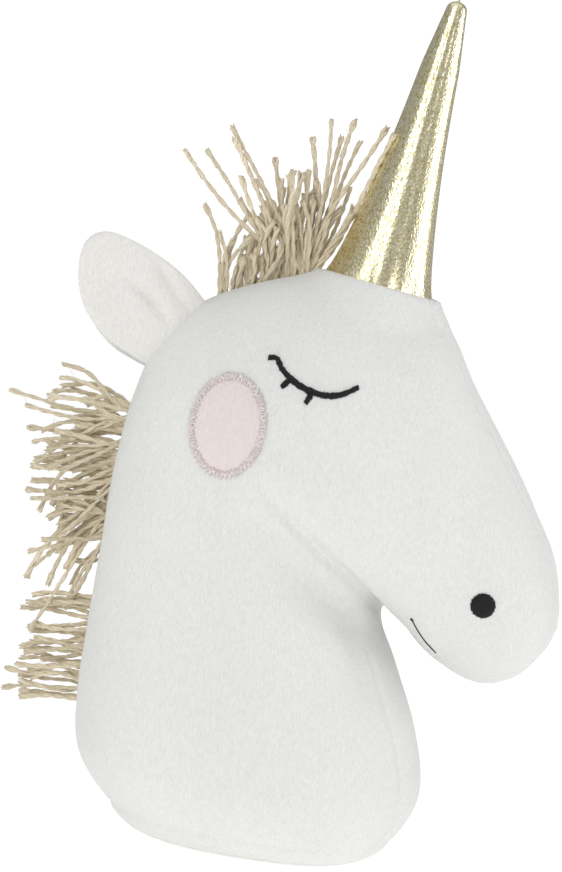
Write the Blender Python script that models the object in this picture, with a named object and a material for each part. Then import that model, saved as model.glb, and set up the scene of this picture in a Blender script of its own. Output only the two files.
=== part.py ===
"""Stuffed plush unicorn head on a flat base, 374 mm tall.

X points out of the forehead towards the muzzle, Y to the unicorn's left and Z up. The origin is the
centre of the flat of the base. Sizes are in millimetres until mesh data is written.
"""

import math

import bmesh
import bpy
from mathutils import Matrix, Vector
from mathutils.bvhtree import BVHTree

MM = 0.001

# Fabric and gaps
PLUSH = 2.0  # thickness of the plush fabric
GAP = 0.3  # clearance kept between neighbouring pieces
FIBRE_CLEARANCE = 1.8  # between the filling and the fabric, whose facets cut inside the curve
TAPE = 1.5  # thickness of the mane's header tape
TAPE_STAND = 2.2  # how far the tape stands out of the seam

# Stations of the stuffed body, from the base seam to the muzzle: the back or top point (x, z),
# the front or throat point (x, z), the half width, and the squareness of the section
STATIONS = (
    ((-65, 11), (62, 10), 57, 2.5),
    ((-81, 30), (70, 30), 62, 2.4),
    ((-85, 56), (64, 56), 62, 2.3),
    ((-85, 86), (52, 83), 58, 2.25),
    ((-84, 118), (45, 102), 55, 2.2),
    ((-83, 150), (43.5, 108), 53, 2.2),
    ((-79, 183), (45, 110), 52, 2.2),
    ((-70, 211), (48.5, 107.5), 52, 2.2),
    ((-50, 233), (53.5, 103.5), 51, 2.25),
    ((-9, 249), (60, 97.5), 49, 2.4),
    ((22, 247.5), (67, 92), 46, 2.4),
    ((50, 238), (74, 88), 43, 2.3),
    ((69, 210), (80.5, 85), 40, 2.25),
    ((86, 186), (88, 83.2), 38, 2.2),
    ((101, 163), (96.5, 84.5), 35, 2.15),
    ((113, 142), (105.5, 89.5), 28.5, 2.1),
    ((118.5, 123), (114, 99.5), 16, 2.0),
    ((119.3, 112.5), (118.8, 110), 1.5, 2.0),
)
NECK_END = 5.5  # station of the throat corner, where the chest gusset meets the jaw gusset
THROAT_REACH = 2  # stations past the throat corner over which the jaw gusset settles
CROWN_END = 9.0  # station of the rear edge of the horn, where the forehead gusset starts
ROWS_PER_STATION = 2

# Half widths of the gussets
CHEST_GUSSET = (34.0, 24.0)  # at the base and at the throat
JAW_GUSSET = 15.0
THROAT_EASE = 1.0  # the jaw gusset is this much narrower each side where the throat folds
FOREHEAD_GUSSET = 17.0

# Base
BASE_CENTRE_X = -1.5
BASE_FLAT = 0.74  # share of the base's radius that rests on the surface
BASE_RISE = 2.2  # power of the curve from the flat up to the seam
BASE_DROP = 1.2  # how far under the side panels' edge the base panel stops
BASE_SHARES = (BASE_FLAT, 0.82, 0.9, 0.96, 1.0)
BASE_WALL = 1.2  # how far the dish's inner wall stands in
BASE_EDGE = 0.35  # thickness of the base panel's edge

# Horn
HORN_BASE = Vector((21.0, 0.0, 247.0))
HORN_TIP = Vector((38.0, 0.0, 374.0))
HORN_RADIUS = 23.0
HORN_TIP_RADIUS = 4.2
HORN_LIFT = 2.8  # clearance over the crown that lets the horn lean
LEATHER = 1.2
HORN_HEIGHTS = (HORN_LIFT, 10.0, 24.0, 45.0, 70.0, 95.0, 115.0)
HORN_FLARE = 1.6  # how much the cone pulls in over its flared base
HORN_CROWN = 2.0  # height of the rounding at the tip
HORN_TURN_IN = 1.4  # how much the tip's last ring is smaller
HORN_SOLID_TIP = 7.0  # where the folded leather fills the tip

# Ears, in the plane of the ear: u runs along the sewn root, v from the root to the tip
EAR_ROOT_TOP = Vector((-52.0, -15.0, 235.5))
EAR_ROOT_LOW = Vector((-79.0, -15.0, 200.0))
EAR_SPLAY = math.radians(12)
EAR_OUTLINE = (
    (-17.5, 0.0),
    (-21.3, 8.0),
    (-22.3, 19.5),
    (-19.5, 32.0),
    (-12.5, 42.5),
    (-3.5, 49.5),
    (4.5, 51.5),
    (11.5, 47.5),
    (16.0, 37.5),
    (19.5, 23.0),
    (20.5, 10.5),
    (18.0, 0.0),
)
EAR_LAYER = 2.4
EAR_STAND = 1.6  # how far the ear starts off its root line

# Filling: rings of the pellet bag, over the base panel and then up the foot of the neck
BALLAST_SHARES = (0.6, 0.8, 0.92)
BALLAST_INSET = 2.0
BALLAST_STATIONS = (0.3, 0.6, 0.94)
FIBRE_START = 1.0
FIBRE_END = 16.0
FILLING_SIDES = 24

# Face
CHEEK_CENTRE = (-31.0, 182.0)
CHEEK_RADII = (12.9, 18.5)
CHEEK_FELT = 1.2
CHEEK_STITCH = 3.4  # width of the stitched border
EYE_LINE = ((-18.5, 212), (-14, 210.5), (-7.8, 205), (-2, 202), (6, 200.2), (13.5, 201.2), (20.6, 205.4))
EYE_LASHES = (((-5.6, 203.8), (-10.2, 199.6)), ((4.2, 200.7), (1.0, 195.2)))
THREAD_WIDTH = 2.3
THREAD_HEIGHT = 1.4
NOSTRIL_CENTRE = (85.0, 121.4)
NOSTRIL_RADIUS = 5.5
NOSTRIL_HEIGHT = 1.3
MOUTH_LINE = ((57.5, 110), (60, 106.5), (64, 102.5), (69, 98.5))
MOUTH_WIDTH = 1.3

# Mane: each row of tufts sways about a straight line beside the seam
MANE_ROWS = (
    ("forelock", (8.05, 9.0), 4, (114, 76), 66.0),
    ("upper_mane", (3.95, 6.15), 4, (162, 206), 38.0),
    ("lower_mane", (1.75, 3.3), 3, (174, 194), 31.0),
)
TUFT_ROOT = 1.6  # radius of the rounded root


# ---------------------------------------------------------------- curves and the body's surface


def smooth(values, t):
    """A value on the smooth curve through evenly spaced values, at the fractional index t."""
    last = len(values) - 1
    i = min(int(t), last - 1)
    f = t - i
    a, b, c, d = (values[min(max(j, 0), last)] for j in range(i - 1, i + 3))
    return 0.5 * (2 * b + (c - a) * f + (2 * a - 5 * b + 4 * c - d) * f * f + (3 * b - a - 3 * c + d) * f**3)


def smooth_point(points, t):
    return Vector([smooth([p[k] for p in points], t) for k in range(len(points[0]))])


def station(s):
    """The back point, front point, half width and squareness of the body's section at s."""
    back = smooth_point([row[0] for row in STATIONS], s)
    front = smooth_point([row[1] for row in STATIONS], s)
    return back, front, smooth([row[2] for row in STATIONS], s), smooth([row[3] for row in STATIONS], s)


def power(value, exponent):
    return math.copysign(abs(value) ** exponent, value)


def skin(s, angle):
    """The outside of the plush. Angle 0 is the back or top, and pi the front or throat, by the right side."""
    back, front, half, square = station(s)
    centre = (back + front) / 2
    reach = (back - front) / 2 * power(math.cos(angle), 2 / square)
    return Vector((centre.x + reach.x, -half * power(math.sin(angle), 2 / square), centre.y + reach.y))


def skin_normal(s, angle):
    step = 0.02
    low, high = max(s - step, 0.0), min(s + step, len(STATIONS) - 1)
    near, far = angle - step, angle + step
    along = skin(high, angle) - skin(low, angle)
    around = skin(s, far) - skin(s, near)
    return around.cross(along).normalized()


def inside(s, angle, depth):
    """A point at a depth under the plush's outside."""
    return skin(s, angle) - skin_normal(s, angle) * depth


def angle_at(s, half_width):
    """The angle from the top at which the right side of the section is this far from the middle."""
    _, _, half, square = station(s)
    return math.asin(min(half_width / half, 1.0) ** (square / 2))


def spread(low, high, count):
    return [low + (high - low) * i / (count - 1) for i in range(count)]


def rows_between(low, high):
    """Stations from low to high. Between the ends they are the same for every piece, so neighbours fit."""
    shared = [i / ROWS_PER_STATION for i in range(ROWS_PER_STATION * (len(STATIONS) - 1) + 1)]
    return [low] + [s for s in shared if low + 0.1 < s < high - 0.1] + [high]


def forehead_half(s):
    """Half width of the forehead gusset: a point behind the horn, then a band that narrows with the nose."""
    opening = min((s - CROWN_END) / 1.2, 1.0)
    return max(1.4, min(FOREHEAD_GUSSET * math.sin(opening * math.pi / 2), 0.45 * station(s)[2]))


def top_seam(s):
    """The angle of the side panel's upper edge."""
    if s < 1.0:
        return angle_at(s, GAP)
    if s < CROWN_END:
        return angle_at(s, TAPE / 2 + GAP)
    return angle_at(s, forehead_half(s) + GAP / 2)


def front_half(s):
    """Half width of the chest gusset, then of the jaw gusset."""
    if s < NECK_END:
        base, throat = CHEST_GUSSET
        return base + (throat - base) * s / NECK_END
    blend = min((s - NECK_END) / THROAT_REACH, 1.0)
    return min(CHEST_GUSSET[1] + (JAW_GUSSET - CHEST_GUSSET[1]) * blend, 0.42 * station(s)[2])


def front_seam(s, clearance):
    return math.pi - angle_at(s, front_half(s) + clearance)


# ---------------------------------------------------------------- mesh helpers


def material(name, colour, roughness, metallic=0.0):
    mat = bpy.data.materials.new(name)
    mat.use_nodes = True
    shader = mat.node_tree.nodes["Principled BSDF"]
    shader.inputs["Base Color"].default_value = (*colour, 1.0)
    shader.inputs["Roughness"].default_value = roughness
    shader.inputs["Metallic"].default_value = metallic
    mat.diffuse_color = (*colour, 1.0)
    return mat


PLUSH_WHITE = ((0.80, 0.80, 0.77), 0.95)
FIBRE_WHITE = ((0.90, 0.90, 0.89), 1.0)
GOLD = ((0.83, 0.72, 0.42), 0.32, 0.85)
PINK = ((0.80, 0.62, 0.60), 0.95)
PINK_THREAD = ((0.82, 0.56, 0.56), 0.6)
BLACK_THREAD = ((0.02, 0.02, 0.02), 0.55)
JUTE = ((0.50, 0.40, 0.26), 0.9)
COTTON = ((0.72, 0.68, 0.58), 0.95)


def finish(name, bm, look, origin=None, sharp=math.radians(50)):
    """Writes a bmesh in millimetres as an object in metres, with its origin where the piece turns."""
    bmesh.ops.recalc_face_normals(bm, faces=bm.faces)
    place = origin or Vector()
    bm.transform(Matrix.Scale(MM, 4) @ Matrix.Translation(-place))
    mesh = bpy.data.meshes.new(name)
    bm.to_mesh(mesh)
    bm.free()
    mesh.shade_smooth()
    mesh.set_sharp_from_angle(angle=sharp)
    mesh.materials.append(material(name + "_material", *look))
    obj = bpy.data.objects.new(name, mesh)
    obj.location = place * MM
    bpy.context.scene.collection.objects.link(obj)
    return obj


def sheet_solid(name, outer, inner, look, origin=None):
    """A closed sheet between two grids of points: faces on both sides and a rim around."""
    bm = bmesh.new()
    rows, columns = len(outer), len(outer[0])
    top = [[bm.verts.new(p) for p in row] for row in outer]
    low = [[bm.verts.new(p) for p in row] for row in inner]
    for i in range(rows - 1):
        for j in range(columns - 1):
            bm.faces.new((top[i][j], top[i + 1][j], top[i + 1][j + 1], top[i][j + 1]))
            bm.faces.new((low[i][j], low[i][j + 1], low[i + 1][j + 1], low[i + 1][j]))
    rim = [(i, 0) for i in range(rows)] + [(rows - 1, j) for j in range(1, columns)]
    rim += [(i, columns - 1) for i in range(rows - 2, -1, -1)] + [(0, j) for j in range(columns - 2, 0, -1)]
    for (i, j), (k, m) in zip(rim, rim[1:] + rim[:1]):
        bm.faces.new((top[i][j], low[i][j], low[k][m], top[k][m]))
    return finish(name, bm, look, origin)


def ring_solid(name, rings, look, origin=None):
    """A closed solid skinned over rings of points, with its first and last ring capped."""
    bm = bmesh.new()
    loops = [[bm.verts.new(p) for p in ring] for ring in rings]
    for first, second in zip(loops, loops[1:]):
        for a, b, c, d in zip(first, first[1:] + first[:1], second[1:] + second[:1], second):
            bm.faces.new((a, b, c, d))
    bm.faces.new(loops[0])
    bm.faces.new(loops[-1])
    return finish(name, bm, look, origin)


def hoop_solid(name, sections, look, origin=None):
    """A closed hoop skinned over sections that follow each other around it."""
    bm = bmesh.new()
    loops = [[bm.verts.new(p) for p in section] for section in sections]
    for first, second in zip(loops, loops[1:] + loops[:1]):
        for a, b, c, d in zip(first, first[1:] + first[:1], second[1:] + second[:1], second):
            bm.faces.new((a, b, c, d))
    return finish(name, bm, look, origin)


def mirrored(points):
    """Points on the unicorn's left from points on its right, in grids or rows of any depth."""
    if isinstance(points, Vector):
        return Vector((points.x, -points.y, points.z))
    return [mirrored(p) for p in points]


def unchanged(points):
    return points


SIDES = (("right", unchanged), ("left", mirrored))


# ---------------------------------------------------------------- the stuffed body


def side_panels():
    """The two big side panels, from the base seam to the muzzle."""
    columns = 11
    last = len(STATIONS) - 1
    outer, inner = [], []
    for s in rows_between(0.0, last):
        angles = spread(top_seam(s), front_seam(s, GAP), columns)
        outer.append([skin(s, a) for a in angles])
        inner.append([inside(s, a, PLUSH) for a in angles])
    for side, place in SIDES:
        sheet_solid("side_panel_" + side, place(outer), place(inner), PLUSH_WHITE)


def pulled_in(rows, index, neighbour):
    """Moves a piece's end row towards its neighbour by a seam's gap."""
    rows[index] = [p + (q - p).normalized() * GAP for p, q in zip(rows[index], rows[neighbour])]


def band(name, low, high, edge, around, columns):
    """A gusset across the middle, at the top (around 0) or at the front (around pi)."""
    outer, inner = [], []
    for s in rows_between(low, high):
        reach = angle_at(s, edge(s) - GAP / 2)
        angles = spread(around - reach, around + reach, columns)
        outer.append([skin(s, a) for a in angles])
        inner.append([inside(s, a, PLUSH) for a in angles])
    for layer in (outer, inner):
        if low > 0.0:
            pulled_in(layer, 0, 1)
        if high < len(STATIONS) - 1:
            pulled_in(layer, -1, -2)
    sheet_solid(name, outer, inner, PLUSH_WHITE)


def jaw_half(s):
    """Half the width of the jaw gusset, eased at the throat where three panels meet."""
    return front_half(s) - (THROAT_EASE if s < NECK_END + THROAT_REACH else 0.0)


def gussets():
    last = len(STATIONS) - 1
    band("forehead_gusset", CROWN_END, last, forehead_half, 0.0, 5)
    band("chest_gusset", 0.0, NECK_END, front_half, math.pi, 7)
    band("jaw_gusset", NECK_END, last, jaw_half, math.pi, 5)


def base_height(share):
    """How far the base panel's outside has risen at this share of its radius."""
    seam = STATIONS[0][0][1] - BASE_DROP
    return seam * max((share - BASE_FLAT) / (1 - BASE_FLAT), 0.0) ** BASE_RISE


def base_ring(share, lift, inset, count=32):
    """A ring of the base panel, at a share of its radius."""
    ring = []
    for i in range(count):
        edge = skin(0.0, 2 * math.pi * i / count)
        outward = Vector((edge.x - BASE_CENTRE_X, edge.y, 0.0))
        flat = outward * share - outward.normalized() * inset
        ring.append(Vector((BASE_CENTRE_X + flat.x, flat.y, base_height(share) + lift)))
    return ring


def base_panel():
    """The dished bottom panel, flat where it rests."""
    outside = [base_ring(share, 0.0, 0.0) for share in BASE_SHARES]
    inner = []
    for share in BASE_SHARES[:-1]:
        inner.append(base_ring(share, PLUSH, BASE_WALL * (share - BASE_FLAT) / (1 - BASE_FLAT)))
    inner.append(base_ring(1.0, BASE_EDGE, PLUSH))
    ring_solid("base_panel", outside + inner[::-1], PLUSH_WHITE)


def filling_ring(s):
    """A ring of the filling, under the plush at the station s."""
    turns = [2 * math.pi * i / FILLING_SIDES for i in range(FILLING_SIDES)]
    return [inside(s, turn, PLUSH + FIBRE_CLEARANCE) for turn in turns]


def ballast_bag():
    """The bag of pellets that keeps the head upright. It fills the foot of the neck."""
    rings = []
    for share in BALLAST_SHARES:
        rings.append(base_ring(share, PLUSH + FIBRE_CLEARANCE, BALLAST_INSET * share, FILLING_SIDES))
    rings += [filling_ring(s) for s in BALLAST_STATIONS]
    ring_solid("ballast_bag", rings, COTTON)


def fibre_filling():
    """The polyester fibre that fills the head and neck above the ballast."""
    rings = [filling_ring(s) for s in rows_between(FIBRE_START, FIBRE_END)]
    ring_solid("fibre_filling", rings, FIBRE_WHITE)


def mane_tape():
    """The header tape that holds the mane, caught in the seam over the neck and crown."""
    outer, inner = [], []
    for s in rows_between(1.0, CROWN_END):
        middle = skin(s, 0.0)
        out = skin_normal(s, 0.0)
        edge = Vector((0.0, TAPE / 2, 0.0))
        outer.append([middle + out * TAPE_STAND - edge, middle + out * TAPE_STAND + edge])
        inner.append([middle - out * (PLUSH - 0.1) - edge, middle - out * (PLUSH - 0.1) + edge])
    for layer in (outer, inner):
        pulled_in(layer, -1, -2)
    sheet_solid("mane_tape", outer, inner, COTTON)


# ---------------------------------------------------------------- the horn


def horn_frame():
    axis = (HORN_TIP - HORN_BASE).normalized()
    forward = Vector((axis.z, 0.0, -axis.x))
    return axis, forward


def horn_radius(height):
    """Radius of the horn's outside at a height over its base, with the base flared a little."""
    length = (HORN_TIP - HORN_BASE).length
    share = height / length
    cone = HORN_RADIUS + (HORN_TIP_RADIUS - HORN_RADIUS) * share
    return cone - HORN_FLARE * math.sin(math.pi * min(share * 1.3, 1.0))


def horn_ring(height, inset, sides=18):
    axis, forward = horn_frame()
    radius = horn_radius(height) - inset
    centre = HORN_BASE + axis * height
    turns = [2 * math.pi * i / sides for i in range(sides)]
    return [centre + forward * radius * math.cos(t) + Vector((0, radius * math.sin(t), 0)) for t in turns]


def horn():
    """The leather cone, open at its base, and the fibre inside it."""
    length = (HORN_TIP - HORN_BASE).length
    outside = [horn_ring(h, 0.0) for h in (*HORN_HEIGHTS, length - HORN_CROWN)]
    outside.append(horn_ring(length, HORN_TURN_IN))
    hollow = [horn_ring(h, LEATHER) for h in (*HORN_HEIGHTS, length - HORN_SOLID_TIP)]
    ring_solid_open("horn_cover", outside, hollow, GOLD, HORN_BASE)
    fill = [horn_ring(h + 0.4, LEATHER + GAP) for h in HORN_HEIGHTS]
    ring_solid("horn_filling", fill, FIBRE_WHITE, HORN_BASE)


def ring_solid_open(name, outside, hollow, look, origin):
    """A cup: an outside skinned over rings and capped, and a hollow that opens at the first ring."""
    bm = bmesh.new()
    walls = [[bm.verts.new(p) for p in ring] for ring in hollow[::-1] + outside]
    for first, second in zip(walls, walls[1:]):
        for a, b, c, d in zip(first, first[1:] + first[:1], second[1:] + second[:1], second):
            bm.faces.new((a, b, c, d))
    bm.faces.new(walls[0])
    bm.faces.new(walls[-1])
    return finish(name, bm, look, origin)


# ---------------------------------------------------------------- the ears


def ear_axes():
    """The right ear's root line, its direction towards the tip, and its outward face."""
    root = (EAR_ROOT_TOP - EAR_ROOT_LOW).normalized()
    flat_up = Vector((-root.z, 0.0, root.x))
    outward = Vector((0.0, -1.0, 0.0))
    rise = flat_up * math.cos(EAR_SPLAY) + outward * math.sin(EAR_SPLAY)
    return root, rise, rise.cross(root).normalized()


def ear_grid(depth_root, depth_middle, rows=9, columns=7):
    """Points across the ear at a distance from its middle plane, which is least along the edges."""
    root, rise, face = ear_axes()
    centre = (EAR_ROOT_TOP + EAR_ROOT_LOW) / 2
    half = (len(EAR_OUTLINE) - 1) / 2
    grid = []
    for i in range(rows):
        share = i / (rows - 1)
        lower = smooth_point(EAR_OUTLINE, share * half * 0.97)
        upper = smooth_point(EAR_OUTLINE, 2 * half - share * half * 0.97)
        line = []
        for j in range(columns):
            across = j / (columns - 1)
            flat = lower.lerp(upper, across)
            puff = math.sin(math.pi * across) ** 0.6 * math.sin(math.pi * min(share + 0.25, 1.0)) ** 0.5
            depth = depth_root + (depth_middle - depth_root) * puff
            line.append(centre + root * flat.x + rise * (flat.y + EAR_STAND) + face * depth)
        grid.append(line)
    return grid


def ears():
    """Each ear is two layers of plush: the outer layer lies away from the middle of the head."""
    axis_point = (EAR_ROOT_TOP + EAR_ROOT_LOW) / 2
    for side, place in SIDES:
        outer = place(ear_grid(1.0, 1.0 + EAR_LAYER)), place(ear_grid(GAP / 2, GAP / 2 + 0.6))
        inner = place(ear_grid(-GAP / 2, GAP / 2)), place(ear_grid(-1.0, 0.2 - EAR_LAYER))
        sheet_solid("ear_front_" + side, *outer, PLUSH_WHITE, place(axis_point))
        sheet_solid("ear_back_" + side, *inner, PLUSH_WHITE, place(axis_point))


# ---------------------------------------------------------------- face details


def skin_tree():
    """The right side of the plush's outside, for laying trims on it."""
    rows = spread(0.0, len(STATIONS) - 1, 120)
    columns = 60
    points, faces = [], []
    for i, s in enumerate(rows):
        points += [skin(s, math.pi * j / (columns - 1)) for j in range(columns)]
        if i:
            for j in range(columns - 1):
                a, b = (i - 1) * columns + j, i * columns + j
                faces.append((a, b, b + 1, a + 1))
    return BVHTree.FromPolygons(points, faces)


def on_side(tree, x, z, height):
    """The point of the right side at x and z, lifted off the plush by a height."""
    spot, normal, _, _ = tree.ray_cast(Vector((x, -200.0, z)), Vector((0.0, 1.0, 0.0)))
    if normal.y > 0:
        normal = -normal
    return spot + normal * height


def disc(name, tree, centre, radii, base, thickness, look, place, sides=20):
    """A thin oval laid on the side of the head."""

    def layer(height, grow):
        rings = []
        for share in (0.4, 0.75, 1.0):
            ring = []
            for i in range(sides):
                turn = 2 * math.pi * i / sides
                x = centre[0] + (radii[0] - grow * (share == 1.0)) * share * math.cos(turn)
                z = centre[1] + (radii[1] - grow * (share == 1.0)) * share * math.sin(turn)
                ring.append(on_side(tree, x, z, height))
            rings.append(ring)
        return rings

    rings = layer(base, 0.0) + layer(base + thickness, 0.3)[::-1]
    ring_solid(name, place(rings), look)


def cheeks(tree):
    for side, place in SIDES:
        disc("cheek_patch_" + side, tree, CHEEK_CENTRE, CHEEK_RADII, GAP, CHEEK_FELT, PINK, place)
        sections = []
        count = 32
        for i in range(count):
            turn = 2 * math.pi * i / count
            section = []
            for reach, height in ((GAP, GAP), (CHEEK_STITCH, GAP), (CHEEK_STITCH, 1.4), (GAP, 1.6)):
                x = CHEEK_CENTRE[0] + (CHEEK_RADII[0] + reach) * math.cos(turn)
                z = CHEEK_CENTRE[1] + (CHEEK_RADII[1] + reach) * math.sin(turn)
                section.append(on_side(tree, x, z, height))
            sections.append(section)
        hoop_solid("cheek_stitching_" + side, place(sections), PINK_THREAD)


def thread_line(name, tree, points, width, look, place, count, raise_by=0.0):
    """A raised line of stitches along points on the side of the head."""
    rings = []
    last = len(points) - 1
    for share in spread(0.0, 1.0, count):
        here = smooth_point(points, share * last)
        before = smooth_point(points, max(share * last - 0.05, 0.0))
        ahead = smooth_point(points, min(share * last + 0.05, last)) - before
        across = Vector((-ahead.y, ahead.x)).normalized() * width / 2
        thin = 0.6 + 0.4 * math.sin(math.pi * share)
        ring = []
        for side, lift in ((-thin, 0.0), (thin, 0.0), (0.6 * thin, THREAD_HEIGHT), (-0.6 * thin, THREAD_HEIGHT)):
            spot = here + across * side
            ring.append(on_side(tree, spot.x, spot.y, GAP + raise_by + lift))
        rings.append(ring)
    return ring_solid(name, place(rings), look)


def eyes(tree):
    """The closed eye: a curved line of stitches with two lashes joined to it."""
    for side, place in SIDES:
        line = thread_line("eye_stitching_" + side, tree, EYE_LINE, THREAD_WIDTH, BLACK_THREAD, place, 15)
        for i, lash in enumerate(EYE_LASHES):
            name = f"lash_cutter_{side}_{i}"
            tool = thread_line(name, tree, lash, THREAD_WIDTH * 0.9, BLACK_THREAD, place, 4, 0.12)
            tool.hide_render = True
            tool.display_type = "WIRE"
            join = line.modifiers.new("lash", "BOOLEAN")
            join.operation = "UNION"
            join.solver = "EXACT"
            join.object = tool


def nostrils_and_mouth(tree):
    radii = (NOSTRIL_RADIUS, NOSTRIL_RADIUS)
    for side, place in SIDES:
        disc("nostril_" + side, tree, NOSTRIL_CENTRE, radii, GAP, NOSTRIL_HEIGHT, BLACK_THREAD, place, 16)
        thread_line("mouth_stitching_" + side, tree, MOUTH_LINE, MOUTH_WIDTH, BLACK_THREAD, place, 7)


# ---------------------------------------------------------------- the mane


def mane_axis(first, last):
    """The straight line that a row of tufts sways about, just outside the curved tape."""
    start, end = skin(first, 0.0), skin(last, 0.0)
    along = (end - start).normalized()
    out = Vector((-along.z, 0.0, along.x))
    bulge = max((skin(s, 0.0) - start).dot(out) for s in spread(first, last, 15))
    lift = out * (bulge + TAPE_STAND + GAP + TUFT_ROOT)
    return start + lift, end + lift


def tuft(name, root_low, root_high, angle_low, angle_high, length, origin):
    """A flat lock of twine that fans out from its rounded root, with a stepped edge of strand ends."""
    rows, columns = 6, 7
    middle = (root_low + root_high) / 2
    front, back = [], []
    for i in range(rows):
        share = i / (rows - 1)
        thickness = TUFT_ROOT + 2.6 * math.sin(math.pi * min(share * 0.8, 1.0))
        line = []
        for j in range(columns):
            across = j / (columns - 1)
            turn = math.radians(angle_low + (angle_high - angle_low) * across)
            ray = Vector((math.cos(turn), 0.0, math.sin(turn)))
            reach = length * (1.0 if j % 2 else 0.84) * share
            line.append(root_low.lerp(root_high, across) + ray * reach)
        front.append([p - Vector((0.0, thickness, 0.0)) for p in line])
        back.append([p + Vector((0.0, thickness, 0.0)) for p in line])
    sheet_solid(name, front, back, JUTE, origin or middle)


def mane():
    """The forelock and the two groups of locks down the neck, as separate locks on each row."""
    for name, (first, last), count, (angle_low, angle_high), length in MANE_ROWS:
        start, end = mane_axis(first, last)
        middle = (start + end) / 2
        step = (angle_high - angle_low) / count
        for i in range(count):
            low = start.lerp(end, (i + 0.04) / count)
            high = start.lerp(end, (i + 0.96) / count)
            turn = angle_low + step * i
            own = length * (0.92 + 0.16 * ((i * 2) % 3) / 2)
            tuft(f"{name}_{i + 1}", low, high, turn + 0.03 * step, turn + 0.97 * step, own, middle)


def build():
    for obj in list(bpy.data.objects):
        bpy.data.objects.remove(obj)
    side_panels()
    gussets()
    base_panel()
    ballast_bag()
    fibre_filling()
    mane_tape()
    horn()
    ears()
    tree = skin_tree()
    cheeks(tree)
    eyes(tree)
    nostrils_and_mouth(tree)
    mane()


build()
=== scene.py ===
"""The looks of a stuffed plush unicorn head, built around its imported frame.

Shapes are worked out in millimetres in the frame's own axes: X towards the muzzle, Y to the unicorn's
left, Z up. They are written to the meshes in metres.
"""

import math
import random

import bmesh
import bpy
import numpy as np
from mathutils import Matrix, Vector, kdtree
from mathutils.bvhtree import BVHTree


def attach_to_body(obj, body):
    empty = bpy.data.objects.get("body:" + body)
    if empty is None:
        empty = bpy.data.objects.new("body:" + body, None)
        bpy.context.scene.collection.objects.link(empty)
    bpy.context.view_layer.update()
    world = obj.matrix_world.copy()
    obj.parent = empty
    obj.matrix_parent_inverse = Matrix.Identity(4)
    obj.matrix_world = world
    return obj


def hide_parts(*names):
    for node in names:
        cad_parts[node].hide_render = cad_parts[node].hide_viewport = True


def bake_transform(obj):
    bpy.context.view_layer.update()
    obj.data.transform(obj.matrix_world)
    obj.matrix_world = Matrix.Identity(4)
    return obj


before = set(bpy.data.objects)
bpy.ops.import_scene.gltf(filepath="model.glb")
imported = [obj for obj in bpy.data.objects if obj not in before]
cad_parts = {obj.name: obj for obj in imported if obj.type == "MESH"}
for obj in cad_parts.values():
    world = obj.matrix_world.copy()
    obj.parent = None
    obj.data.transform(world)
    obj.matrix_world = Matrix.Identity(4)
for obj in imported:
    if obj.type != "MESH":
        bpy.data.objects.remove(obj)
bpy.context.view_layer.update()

MM = 0.001
UP = np.array((0.0, 0.0, 1.0))

# ---- the form of the head

# Stations of the stuffed body, from the base seam to the muzzle: the back or top point (x, z),
# the front or throat point (x, z), the half width, and the squareness of the section
STATIONS = np.array(
    (
        (-65, 11, 62, 10, 57, 2.5),
        (-81, 30, 70, 30, 62, 2.4),
        (-85, 56, 64, 56, 62, 2.3),
        (-85, 86, 52, 83, 58, 2.25),
        (-84, 118, 45, 102, 55, 2.2),
        (-83, 150, 43.5, 108, 53, 2.2),
        (-79, 183, 45, 110, 52, 2.2),
        (-70, 211, 48.5, 107.5, 52, 2.2),
        (-50, 233, 53.5, 103.5, 51, 2.25),
        (-9, 249, 60, 97.5, 49, 2.4),
        (22, 247.5, 67, 92, 46, 2.4),
        (50, 238, 74, 88, 43, 2.3),
        (69, 210, 80.5, 85, 40, 2.25),
        (86, 186, 88, 83.2, 38, 2.2),
        (101, 163, 96.5, 84.5, 35, 2.15),
        (113, 142, 105.5, 89.5, 28.5, 2.1),
        (118.5, 123, 114, 99.5, 16, 2.0),
        (119.3, 112.5, 118.8, 110, 1.5, 2.0),
    ),
    dtype=float,
)
LAST = len(STATIONS) - 1
NECK_END = 5.5
CROWN_END = 9.25
CHEST_GUSSET = (34.0, 24.0)
JAW_GUSSET = 15.0
FOREHEAD_GUSSET = 17.0
JAW_SHARE = 0.42  # widest share of the head that the jaw gusset takes
FOREHEAD_SHARE = 0.45
THROAT_REACH = 2  # stations over which the chest gusset narrows to the jaw gusset
THROAT = (44.0, 0.0, 106.0)
MUZZLE_TIP = (119.6, 0.0, 111.2)

BASE_CENTRE_X = -1.5
BASE_FLAT = 0.74
BASE_RISE = 2.2
BASE_SEAM = 9.8  # height of the panel's edge
BASE_SHARES = (0.985, 0.965, 0.94, 0.9, 0.85, 0.79, 0.74, 0.6, 0.4, 0.2)  # rings, by share of the radius

HORN_BASE = Vector((21.0, 0.0, 247.0))
HORN_TIP = Vector((38.0, 0.0, 374.0))
HORN_AXIS = (HORN_TIP - HORN_BASE).normalized()
HORN_FORWARD = Vector((HORN_AXIS.z, 0.0, -HORN_AXIS.x))
HORN_LENGTH = (HORN_TIP - HORN_BASE).length
HORN_RADIUS = 23.0
HORN_TIP_RADIUS = 4.0

EAR_ROOT_TOP = Vector((-52.0, -15.0, 235.5))
EAR_ROOT_LOW = Vector((-79.0, -15.0, 200.0))
EAR_SPLAY = math.radians(12)
EAR_LEAN = math.radians(6.5)  # how much more the left ear leans back
EAR_SLIP = 3.5  # how much lower the left ear sits along its root
EAR_HALF = 0.46  # share of the ear's thickness that each layer fills
EAR_OUTLINE = np.array(
    (
        (-17.5, -9.0), (-20.8, 5.0), (-22.3, 17.5), (-19.8, 31.0), (-12.8, 42.0), (-3.5, 49.5),
        (4.5, 51.5), (11.5, 47.5), (16.0, 37.5), (19.5, 23.0), (20.5, 8.5), (18.0, -9.0),
    )
)

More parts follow.
